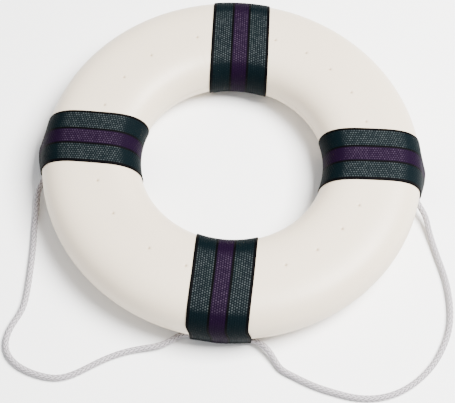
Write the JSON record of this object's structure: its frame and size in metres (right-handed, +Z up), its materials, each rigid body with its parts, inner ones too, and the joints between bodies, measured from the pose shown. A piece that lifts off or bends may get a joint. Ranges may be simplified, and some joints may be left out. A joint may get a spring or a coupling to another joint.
{
  "type": "ring lifebuoy",
  "caption": "Ring lifebuoy: a foam filled plastic ring with sewn webbing straps and a braided grab line that hangs in loops, lying flat.",
  "frame": {"origin": "on the ground under the middle of the ring, at the height of the straps' undersides", "axes": "+Z up out of the ring's front face; -Y towards the strap between the two rope loops; +X to the right seen from -Y"},
  "size_m": [0.5775, 0.579, 0.0795],
  "materials": {
    "shell_plastic": "satin",
    "foam": "matte",
    "webbing": "woven",
    "thread": "matte",
    "line_fibre": "braided",
    "sleeve_plastic": "satin"
  },
  "bodies": {
    "ring": {"front_shell": "shell_plastic", "rear_shell": "shell_plastic", "foam_core": "foam", "filling_plug": "shell_plastic", "strap_right": "webbing", "strap_top": "webbing", "strap_left": "webbing", "strap_bottom": "webbing", "stitching_right": "thread", "stitching_top": "thread", "stitching_left": "thread", "stitching_bottom": "thread", "grab_line_upper_left": "line_fibre", "grab_line_lower": "line_fibre", "grab_line_upper_right": "line_fibre", "line_joining_sleeve": "sleeve_plastic"},
    "left_loop": {"grab_line_left_loop": "line_fibre"},
    "right_loop": {"grab_line_right_loop": "line_fibre"}
  },
  "joints": [
    {"name": "left_loop_swing", "type": "hinge", "parent": "ring", "child": "left_loop", "pos_m": [-0.2578, -0.115, 0.0042], "axis": [-0.683, 0.7304, 0], "range_deg": [0, 85]},
    {"name": "right_loop_swing", "type": "hinge", "parent": "ring", "child": "right_loop", "pos_m": [0.086, -0.2858, 0.0042], "axis": [-0.7509, -0.6604, 0], "range_deg": [0, 85]}
  ]
}
